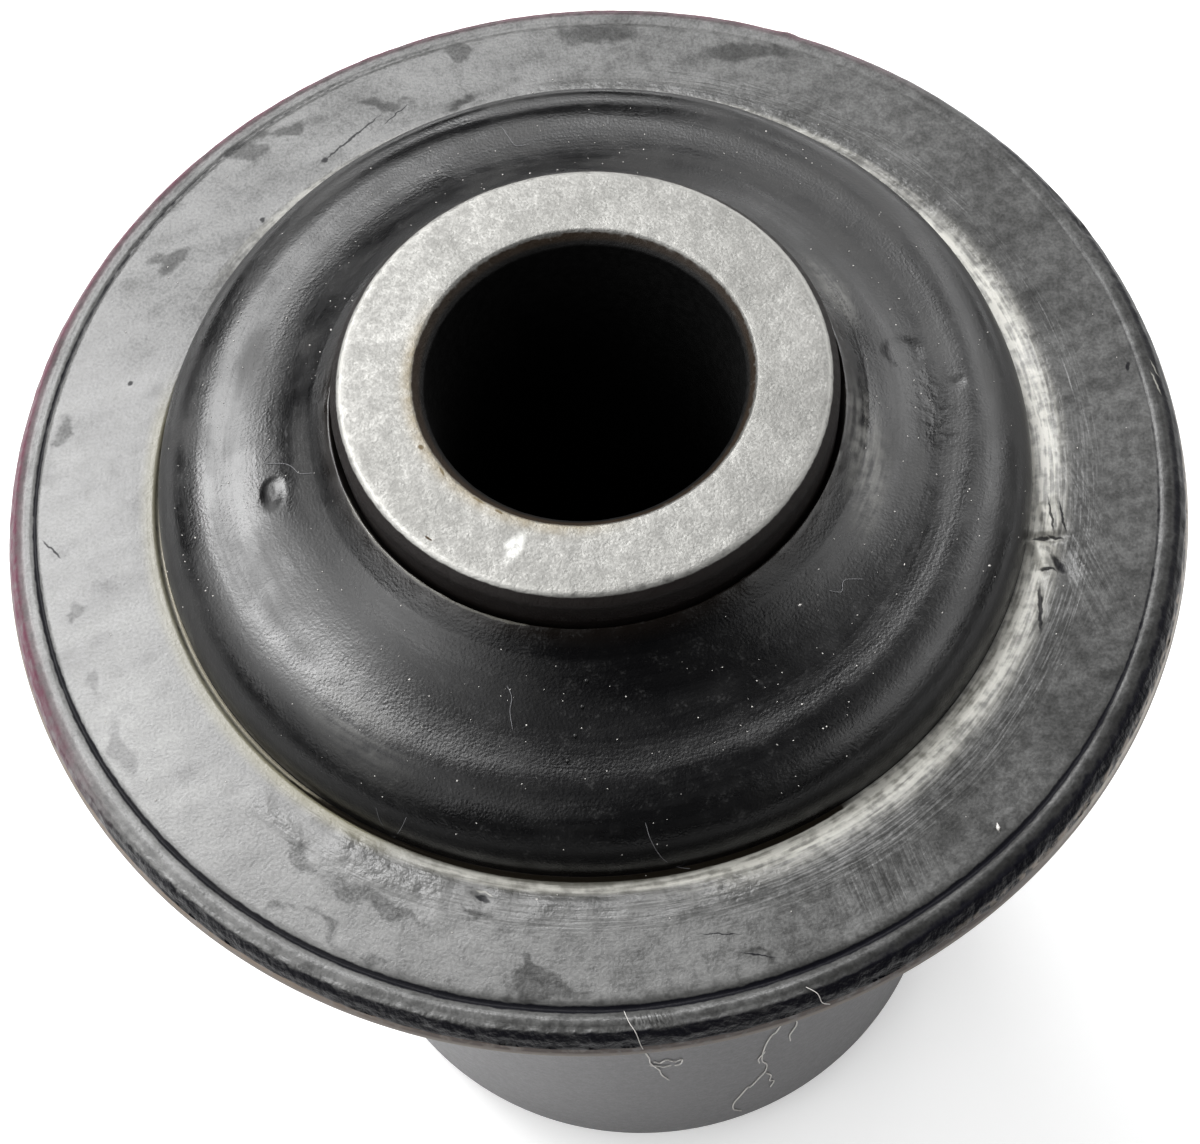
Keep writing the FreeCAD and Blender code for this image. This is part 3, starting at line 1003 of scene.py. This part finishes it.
# A material made of nodes. Values are plain numbers, colours or sockets of other nodes.
class Finish:
    def __init__(self, name):
        self.material = bpy.data.materials.new(name)
        self.material.use_nodes = True
        self.tree = self.material.node_tree
        self.surface = self.tree.nodes["Principled BSDF"]
        place = self.add("ShaderNodeTexCoord", {}).outputs["Object"]
        self.place = self.vector("SCALE", place, scale=1 / mm)

    def feed(self, socket, value):
        if isinstance(value, bpy.types.NodeSocket):
            self.tree.links.new(value, socket)
        elif socket.type == "RGBA":
            socket.default_value = (*value, 1)
        else:
            socket.default_value = value

    def add(self, kind, sockets, **options):
        node = self.tree.nodes.new(kind)
        for key, value in options.items():
            setattr(node, key, value)
        for key, value in sockets.items():
            self.feed(node.inputs[key], value)
        return node

    def vector(self, operation, *values, scale=None):
        node = self.add("ShaderNodeVectorMath", {}, operation=operation)
        for socket, value in zip(node.inputs, values):
            self.feed(socket, value)
        if scale is not None:
            self.feed(node.inputs["Scale"], scale)
        return node.outputs["Value" if operation == "LENGTH" else "Vector"]

    def calc(self, operation, *values):
        node = self.add("ShaderNodeMath", {}, operation=operation)
        for socket, value in zip(node.inputs, values):
            self.feed(socket, value)
        return node.outputs[0]

    def plus(self, first, second):
        return self.calc("ADD", first, second)

    def times(self, first, second):
        return self.calc("MULTIPLY", first, second)

    def most(self, first, second):
        return self.calc("MAXIMUM", first, second)

    def painted(self, name):
        return self.add("ShaderNodeAttribute", {}, attribute_name=name).outputs["Fac"]

    def noise(self, place, scale, detail):
        return self.add("ShaderNodeTexNoise", {"Vector": place, "Scale": scale, "Detail": detail})

    # Noise from 0 to 1 with lumps of a size in millimetres
    def grain(self, size, detail=2):
        return self.noise(self.place, 1 / size, detail).outputs["Fac"]

    # Noise drawn out along circles round the axis. The length holds at the given radius.
    def streaks(self, length, width, radius=24):
        flat = self.vector("MULTIPLY", self.place, (1, 1, 0))
        across = self.calc("DIVIDE", self.vector("LENGTH", flat), width)
        away = self.add("ShaderNodeCombineXYZ", {"Z": across})
        around = self.vector("SCALE", self.vector("NORMALIZE", flat), scale=radius / length)
        return self.noise(self.vector("ADD", around, away.outputs[0]), 1, 1).outputs["Fac"]

    # Noise drawn out in one straight direction
    def combed(self, turn, length, width):
        sockets = {
            "Vector": self.place,
            "Rotation": (0, 0, math.radians(turn)),
            "Scale": (length, width, width),
        }
        local = self.add("ShaderNodeMapping", sockets, vector_type="TEXTURE").outputs["Vector"]
        return self.noise(local, 1, 1).outputs["Fac"]

    def step(self, value, low, high, toLow=0.0, toHigh=1.0):
        sockets = {"Value": value, "From Min": low, "From Max": high, "To Min": toLow, "To Max": toHigh}
        return self.add("ShaderNodeMapRange", sockets, interpolation_type="SMOOTHSTEP").outputs["Result"]

    # The node's inputs 0, 6 and 7 and its output 2 are the ones for colours
    def mix(self, share, first, second):
        node = self.add("ShaderNodeMix", {}, data_type="RGBA")
        for index, value in ((0, share), (6, first), (7, second)):
            self.feed(node.inputs[index], value)
        return node.outputs[2]

    # Marks seen from above: (azimuth, radius), (length, width), tilt. 1 inside, 0 outside. They
    # reach the given depth along the axis.
    def marks(self, spots, wander, soft=0.35, depth=1000):
        place = self.vector("ADD", self.place, wander)
        total = 0.0
        for (azimuth, radius), (length, width), tilt in spots:
            turn = math.radians(azimuth)
            sockets = {
                "Vector": place,
                "Location": (radius * math.cos(turn), radius * math.sin(turn), 0),
                "Rotation": (0, 0, turn + math.radians(90 - tilt)),
                "Scale": (length / 2, width / 2, depth),
            }
            local = self.add("ShaderNodeMapping", sockets, vector_type="TEXTURE").outputs["Vector"]
            inside = self.step(self.vector("LENGTH", local), 1 - soft, 1 + soft, 1.0, 0.0)
            total = self.most(total, inside)
        return total

    # A small sideways shift that makes the outline of a mark ragged
    def wander(self, reach, size):
        moved = self.noise(self.place, 1 / size, 1).outputs["Color"]
        return self.vector("SCALE", self.vector("SUBTRACT", moved, (0.5, 0.5, 0.5)), scale=reach)

    # One bump from (height, depth in millimetres) pairs
    def bump(self, layers):
        total = 0.0
        for height, depth in layers:
            total = self.plus(total, self.times(height, depth * mm))
        node = self.add("ShaderNodeBump", {"Height": total, "Distance": 1.0, "Strength": 1.0})
        self.feed(self.surface.inputs["Normal"], node.outputs["Normal"])

    def set(self, **sockets):
        for key, value in sockets.items():
            self.feed(self.surface.inputs[key.replace("_", " ")], value)


def plainMaterial(name, colour, roughness):
    finish = Finish(name)
    finish.set(Base_Color=colour, Roughness=roughness)
    return finish.material


# Satin black rubber of the dome, with brush streaks, scuffs, a browner edge at the sleeve, painted reflection
# patches, and painted highlight and shade in the strength of its reflection
dome = {
    "black": (0.003, 0.003, 0.0034),
    "scuffed": (0.013, 0.0127, 0.0125),
    "brown": (0.009, 0.0065, 0.005),
    "grains": (0.05, 0.05, 0.05),
    "feather": (0.1, 0.095, 0.08),
    # colour of the painted reflection patches
    "paintedReflection": (0.2, 0.198, 0.185),
    "roughness": (0.23, 0.49),
    "index": 1.78,
    "bumps": (0.016, 0.008, 0.012, 0.07),  # depth of the fine grain, brush marks, coarse grain and pits
}


def domeFinish():
    finish = Finish("rubberDome")
    fine = finish.grain(0.13)
    coarse = finish.grain(0.6, 3)
    brush = finish.streaks(5.0, 0.2)
    scuff = finish.plus(finish.painted("scuff"), finish.times(coarse, 0.5))
    colour = finish.mix(finish.step(scuff, 0.55, 1.1), dome["black"], dome["scuffed"])
    colour = finish.mix(finish.painted("brown"), colour, dome["brown"])
    pale = finish.step(finish.times(fine, coarse), 0.3, 0.48, 0.0, 0.4)
    colour = finish.mix(pale, colour, dome["grains"])
    feather = finish.plus(finish.painted("feather"), finish.times(coarse, 0.5))
    colour = finish.mix(finish.step(feather, 0.92, 1.1), colour, dome["feather"])
    # Painted reflection patches
    paintedReflection = finish.times(finish.painted("paintedReflection"), finish.step(finish.plus(coarse, brush), 0.7, 1.3))
    colour = finish.mix(paintedReflection, colour, dome["paintedReflection"])
    rough = finish.plus(finish.painted("scuff"), finish.times(finish.plus(brush, coarse), 0.5))
    rough = finish.step(rough, 0.3, 1.4, *dome["roughness"])
    finish.set(Base_Color=colour, Roughness=rough, IOR=dome["index"])
    # Painted highlight and shade: the reflection is scaled by the painted shine of each side
    finish.set(Specular_Tint=finish.mix(finish.painted("paintedShine"), (0, 0, 0), (1, 1, 1)))
    pitted = finish.times(finish.painted("pitted"), coarse)
    finish.bump(zip((fine, brush, coarse, pitted), dome["bumps"]))
    return finish.material


# Bloomed rubber of the pad with painted light by side, a painted highlight along its inner rim, painted shade
# in the crease and the groove, stains, scratches and the dark ragged bead
pad = {
    "grey": (0.06, 0.06, 0.0585),
    # colour of the painted highlight along the inner rim
    "lipHighlight": (0.6, 0.59, 0.54),
    "yellow": (0.26, 0.24, 0.15),
    "flash": (0.4, 0.36, 0.25),
    "brown": (0.014, 0.011, 0.007),
    "black": (0.0045, 0.0045, 0.007),
    "purple": (0.12, 0.03, 0.055),
    "rimGrey": (0.3, 0.26, 0.22),
    "pale": (0.4, 0.39, 0.35),
    "roughness": (0.38, 0.46),
    "index": 1.7,
    "bumps": (0.014, 0.05, 0.2, 0.07),  # depth of the grain, brush marks, pits and combed scratches
    "comb": (103, 2.4, 0.13),  # direction of the combed scratches, length, width
    "wander": (0.22, 0.35),  # reach and size of the waves in the outlines of the lines
    # (azimuth, radius), (length, width), tilt
    # The lines from azimuth 336 to 345 are painted shade in the folds and notch of the dent; the others are
    # dark marks and the crack at 331.3
    "lines": [
        ((116.4, 23.12), (3.9, 0.12), 167), ((109.9, 23.3), (1.7, 0.08), 160),
        ((121.1, 22.76), (0.35, 0.3), 0), ((132.9, 22.17), (0.35, 0.25), 0),
        ((161.2, 23.17), (0.25, 0.25), 0), ((276.4, 24.03), (1.7, 0.06), 14),
        ((182.6, 25.77), (1.3, 0.1), -34), ((3.2, 26.08), (0.5, 0.2), 20),
        ((279.5, 25.36), (1.5, 0.06), 27), ((331.3, 22.0), (2.5, 0.2), 162),
        ((337.8, 22.25), (1.0, 0.5), 130), ((336.5, 21.85), (0.8, 0.18), 80),
        ((340.9, 21.3), (0.9, 0.2), 70), ((341.3, 21.9), (0.7, 0.16), 100),
        ((344.1, 21.58), (1.9, 0.12), 168), ((344.0, 22.1), (1.6, 0.12), 165),
        ((250.9, 22.1), (0.7, 0.25), 10),
    ],
    # The first two are painted highlights on the dent's ridges; the others are pale marks
    "paleLines": [
        ((344.4, 21.83), (1.4, 0.12), 170), ((339.9, 21.5), (1.0, 0.2), 100),
        ((0.9, 27.18), (1.2, 0.09), 170), ((2.6, 27.35), (0.9, 0.08), 170),
        ((250.9, 21.85), (0.7, 0.08), 10),
    ],
}


# Strength of the grey bloom with painted light by side, mottled, stained, smeared and combed
def bloomTone(finish, fine, speckle, comb):
    tone = finish.times(finish.painted("tone"), finish.step(speckle, 0.3, 0.7, 0.78, 1.22))
    tone = finish.times(tone, finish.step(fine, 0.3, 0.7, 0.83, 1.17))
    stained = finish.plus(finish.painted("stain"), finish.times(speckle, 0.5))
    tone = finish.times(tone, finish.step(stained, 0.5, 1.1, 1.0, 0.48))
    smeared = finish.plus(finish.painted("smear"), finish.times(speckle, 0.4))
    tone = finish.times(tone, finish.step(smeared, 0.6, 0.9, 1.0, 0.72))
    scratched = finish.times(finish.painted("combed"), finish.step(comb, 0.35, 0.65, -0.4, 0.6))
    return finish.times(tone, finish.plus(1.0, scratched))


def padFinish():
    finish = Finish("rubberPad")
    fine = finish.grain(0.15)
    speckle = finish.grain(0.5, 3)
    brush = finish.streaks(2.2, 0.16)
    comb = finish.combed(*pad["comb"])
    shift = finish.wander(*pad["wander"])
    lines = finish.marks(pad["lines"], shift)
    paleLines = finish.marks(pad["paleLines"], shift)
    tone = bloomTone(finish, fine, speckle, comb)
    colour = finish.mix(tone, (0, 0, 0), pad["grey"])
    colour.node.clamp_factor = False
    colour = finish.mix(finish.painted("yellow"), colour, pad["yellow"])
    # A streaked painted highlight along the pad's inner rim
    highlightStreaks = finish.step(finish.plus(speckle, brush), 0.7, 1.25, 0.35, 1.35)
    colour = finish.mix(finish.times(finish.painted("lipHighlight"), highlightStreaks), colour, pad["lipHighlight"])
    # A painted highlight on the line of flash
    colour = finish.mix(finish.painted("flash"), colour, pad["flash"])
    # Brown-black at the crease: painted shade
    brown = finish.step(finish.plus(finish.painted("brown"), finish.times(speckle, 0.4)), 0.55, 0.8)
    colour = finish.mix(brown, colour, pad["brown"])
    # Dark marks, and painted shade in the dent's folds
    colour = finish.mix(finish.times(lines, 0.9), colour, pad["black"])
    dark = finish.step(finish.plus(finish.painted("dark"), finish.times(speckle, 0.7)), 0.55, 0.95)
    colour = finish.mix(dark, colour, pad["black"])
    purple = finish.times(finish.painted("purple"), finish.step(speckle, 0.3, 0.6, 0.45, 1.0))
    colour = finish.mix(purple, colour, pad["purple"])
    grey = finish.times(finish.painted("rimGrey"), finish.step(speckle, 0.4, 0.6))
    colour = finish.mix(grey, colour, pad["rimGrey"])
    # Pale marks, and painted highlights on the dent's ridges
    colour = finish.mix(finish.times(paleLines, 0.6), colour, pad["pale"])
    # The stained and dark parts shine less too
    shine = finish.times(finish.step(tone, 0.0, 1.5, 0.1, 1.0), finish.step(dark, 0.0, 1.0, 1.0, 0.12))
    shine = finish.times(shine, finish.step(finish.most(brown, lines), 0.0, 1.0, 1.0, 0.2))
    shine = finish.times(shine, finish.step(purple, 0.0, 1.0, 1.0, 0.4))
    rough = finish.step(speckle, 0.3, 0.7, *pad["roughness"])
    finish.set(Base_Color=colour, Roughness=rough, IOR=pad["index"])
    finish.set(Specular_Tint=finish.mix(shine, (0, 0, 0), (1, 1, 1)))
    brushed = finish.times(finish.painted("brushed"), brush)
    pitted = finish.times(finish.painted("pitted"), speckle)
    combed = finish.times(finish.painted("combed"), comb)
    finish.bump(zip((fine, brushed, pitted, combed), pad["bumps"]))
    return finish.material


# Turned steel of the sleeve: granular pale face, a painted highlight along its outer edge, brown-black wall
# and a bore painted black as shade
steel = {
    "dull": (0.175, 0.174, 0.165),
    "face": (0.225, 0.223, 0.212),
    "bright": (0.3, 0.297, 0.284),
    # colour of the painted highlight along the face's outer edge
    "edgeHighlight": (0.55, 0.545, 0.52),
    "yellow": (0.24, 0.2, 0.13),
    "wall": (0.008, 0.0055, 0.0048),
    # near black of the bore: painted shade in the deep hole
    "bore": (0.002, 0.002, 0.002),
    "leadIn": (0.02, 0.012, 0.006),
    "pale": (0.55, 0.55, 0.53),
    "nick": (0.03, 0.02, 0.012),
    "roughness": (0.5, 0.62),
    "specular": 0.3,
    "bumps": (0.018, 0.025),  # depth of the fine and of the granular texture
    "wander": (0.2, 0.45),
    # (azimuth, radius), (length, width), tilt
    "blotch": [((245.1, 9.1), (1.4, 0.5), -82), ((243.6, 8.95), (0.6, 0.4), -60)],
    "nicks": [
        ((224.3, 10.4), (0.35, 0.12), 0), ((200.5, 7.95), (0.3, 0.2), 0), ((212, 7.78), (0.5, 0.1), 10),
        ((228, 7.75), (0.6, 0.1), 0), ((236, 7.75), (0.4, 0.1), 0),
    ],
}


def sleeveFinish():
    finish = Finish("sleeveSteel")
    fine = finish.grain(0.12)
    granular = finish.grain(0.42, 3)
    tone = finish.mix(finish.step(granular, 0.3, 0.65), steel["dull"], steel["face"])
    bright = finish.step(finish.plus(fine, finish.painted("cloud")), 0.5, 1.05)
    tone = finish.mix(bright, tone, steel["bright"])
    shift = finish.wander(*steel["wander"])
    blotch = finish.marks(steel["blotch"], shift, 0.7)
    blotch = finish.times(blotch, finish.step(granular, 0.3, 0.55, 0.3, 0.9))
    tone = finish.mix(blotch, tone, steel["pale"])
    tone = finish.mix(finish.marks(steel["nicks"], shift), tone, steel["nick"])
    # Painted highlight along the face's outer edge
    edgeHighlight = finish.times(finish.painted("edgeHighlight"), finish.step(granular, 0.25, 0.5, 0.35, 1.0))
    tone = finish.mix(edgeHighlight, tone, steel["edgeHighlight"])
    tone = finish.mix(finish.times(finish.painted("yellow"), granular), tone, steel["yellow"])
    ragged = finish.times(granular, 0.5)
    lead = finish.step(finish.plus(finish.painted("leadIn"), ragged), 0.7, 0.95)
    tone = finish.mix(lead, tone, steel["leadIn"])
    # The bore painted near black and not metal: painted shade in the deep hole
    tone = finish.mix(finish.painted("bore"), tone, steel["bore"])
    wall = finish.step(finish.plus(finish.painted("wall"), ragged), 0.5, 0.8)
    tone = finish.mix(wall, tone, steel["wall"])
    covered = finish.most(finish.most(finish.painted("bore"), wall), lead)
    metal = finish.step(covered, 0.2, 0.8, 1.0, 0.0)
    rough = finish.step(granular, 0.3, 0.7, *steel["roughness"])
    finish.set(Base_Color=tone, Metallic=metal, Roughness=rough, Specular_IOR_Level=steel["specular"])
    finish.bump(zip((fine, granular), steel["bumps"]))
    return finish.material


# Drawn steel of the shell: smooth grey barrel, a bare sheared edge with brown and purple films, and a painted
# highlight along the flange's lower edge
drawn = {
    "barrel": (0.16, 0.157, 0.161),
    "pale": (0.26, 0.258, 0.262),
    "roughness": (0.44, 0.5),
    "bumps": (0.006, 0.006),
    # the last is a painted highlight along the lower edge; the others are films
    "edges": [
        ("tan", (0.2, 0.145, 0.1)), ("reddish", (0.05, 0.03, 0.022)), ("grey", (0.6, 0.54, 0.47)),
        ("purple", (0.16, 0.035, 0.06)), ("lowEdgeHighlight", (0.18, 0.155, 0.13)),
    ],
}


def shellFinish():
    finish = Finish("shellSteel")
    fine = finish.grain(0.14)
    speckle = finish.grain(0.5, 3)
    tone = finish.mix(finish.step(fine, 0.3, 0.75, 0.0, 0.5), drawn["barrel"], drawn["pale"])
    filmsAndHighlight = 0.0
    for name, colour in drawn["edges"]:
        share = finish.times(finish.painted(name), finish.step(speckle, 0.3, 0.55, 0.45, 1.0))
        tone = finish.mix(share, tone, colour)
        filmsAndHighlight = finish.most(filmsAndHighlight, share)
    metal = finish.step(filmsAndHighlight, 0.0, 0.5, 1.0, 0.0)
    rough = finish.step(speckle, 0.3, 0.7, *drawn["roughness"])
    finish.set(Base_Color=tone, Metallic=metal, Roughness=rough)
    finish.bump(zip((fine, speckle), drawn["bumps"]))
    return finish.material


# Studio: a pale floor, soft lamps and the camera of the photograph

camera = {
    "place": (0, -47.67, 141.24),
    "pitch": 66.41,
    "yaw": 5.18,
    "roll": -2.59,
    "lens": 59.14,
    "shift": (-0.0803, 0.0948),
    "sensor": 36,
    "clip": (0.005, 10),  # metres
}


def placeCamera():
    pitch, yaw, roll = (math.radians(camera[key]) for key in ("pitch", "yaw", "roll"))
    flat = math.cos(pitch)
    forward = Vector((math.sin(yaw) * flat, math.cos(yaw) * flat, -math.sin(pitch)))
    level = forward.cross(Vector((0, 0, 1))).normalized()
    upright = level.cross(forward)
    right = level * math.cos(roll) + upright * math.sin(roll)
    up = upright * math.cos(roll) - level * math.sin(roll)
    data = bpy.data.cameras.new("camera")
    data.sensor_fit = "HORIZONTAL"
    data.sensor_width = camera["sensor"]
    data.lens = camera["lens"]
    data.shift_x, data.shift_y = camera["shift"]
    data.clip_start, data.clip_end = camera["clip"]
    piece = bpy.data.objects.new("camera", data)
    turn = Matrix((right, up, -forward)).transposed().to_4x4()
    piece.matrix_world = Matrix.Translation(Vector(camera["place"]) * mm) @ turn
    bpy.context.scene.collection.objects.link(piece)
    bpy.context.scene.camera = piece


# Distances in metres
studio = {
    "floorReach": 1.5,
    "floorColour": (0.9, 0.9, 0.9),
    "floorRoughness": 0.9,
    "floorGlow": 0.35,  # only in what the camera sees, so that the floor comes out white
    "room": 0.02,
    "backdrop": 1.0,  # only in what the camera sees past the floor
    "level": 1.7,
    "lampDistance": 0.6,
    "lampSize": 0.36,
    # azimuth, height, power
    "lamps": [
        (90, 52, 0.48), (120, 52, 1.65), (150, 52, 0.71),
        (60, 12, 0.3), (0, 32, 0.19), (30, 32, 0.41), (60, 32, 0.13), (120, 32, 0.1), (180, 32, 0.35),
        (210, 32, 0.43), (330, 32, 0.17), (0, 52, 0.08), (210, 52, 0.24), (210, 70, 0.13),
    ],
}


def floorMaterial():
    finish = Finish("paleFloor")
    seen = finish.add("ShaderNodeLightPath", {}).outputs["Is Camera Ray"]
    finish.set(Base_Color=studio["floorColour"], Roughness=studio["floorRoughness"])
    finish.set(Emission_Color=(1, 1, 1), Emission_Strength=finish.times(seen, studio["floorGlow"]))
    return finish.material


def buildFloor():
    reach = studio["floorReach"]
    corners = [(-reach, -reach, 0), (reach, -reach, 0), (reach, reach, 0), (-reach, reach, 0)]
    mesh = bpy.data.meshes.new("floor")
    mesh.from_pydata(corners, [], [(0, 1, 2, 3)])
    floor = bpy.data.objects.new("floor", mesh)
    bpy.context.scene.collection.objects.link(floor)
    mesh.materials.append(floorMaterial())


# Faint light from all sides, and a white backdrop that only the camera sees
def buildRoom():
    world = bpy.data.worlds.new("room")
    bpy.context.scene.world = world
    world.use_nodes = True
    sky = world.node_tree.nodes["Background"].inputs
    sky["Color"].default_value = (1, 1, 1, 1)
    seen = world.node_tree.nodes.new("ShaderNodeLightPath").outputs["Is Camera Ray"]
    strength = world.node_tree.nodes.new("ShaderNodeMapRange")
    strength.inputs["To Min"].default_value = studio["room"]
    strength.inputs["To Max"].default_value = studio["backdrop"]
    world.node_tree.links.new(seen, strength.inputs["Value"])
    world.node_tree.links.new(strength.outputs["Result"], sky["Strength"])


def buildLamps():
    for azimuth, height, power in studio["lamps"]:
        name = "lamp_%d_%d" % (azimuth, height)
        data = bpy.data.lights.new(name, "AREA")
        data.shape = "DISK"
        data.size = studio["lampSize"]
        data.energy = power * studio["level"]
        piece = bpy.data.objects.new(name, data)
        turn, lift = math.radians(azimuth), math.radians(height)
        away = Vector((math.cos(turn) * math.cos(lift), math.sin(turn) * math.cos(lift), math.sin(lift)))
        piece.location = Vector((0, 0, flangeTop * mm)) + away * studio["lampDistance"]
        piece.rotation_euler = away.to_track_quat("Z", "Y").to_euler()
        bpy.context.scene.collection.objects.link(piece)
    print("lamps:", len(studio["lamps"]))


buildRubber()
buildSleeve()
buildShell()
lintWhite = plainMaterial("lintWhite", lint["white"], lint["roughness"])
buildLint(lintWhite, plainMaterial("lintGrey", lint["grey"], lint["roughness"]))
buildDust(lintWhite)
buildNubs(plainMaterial("nubBlack", nubs["black"], nubs["roughness"]))
placeCamera()
buildFloor()
buildRoom()
buildLamps()
bpy.context.scene.view_settings.view_transform = "Standard"
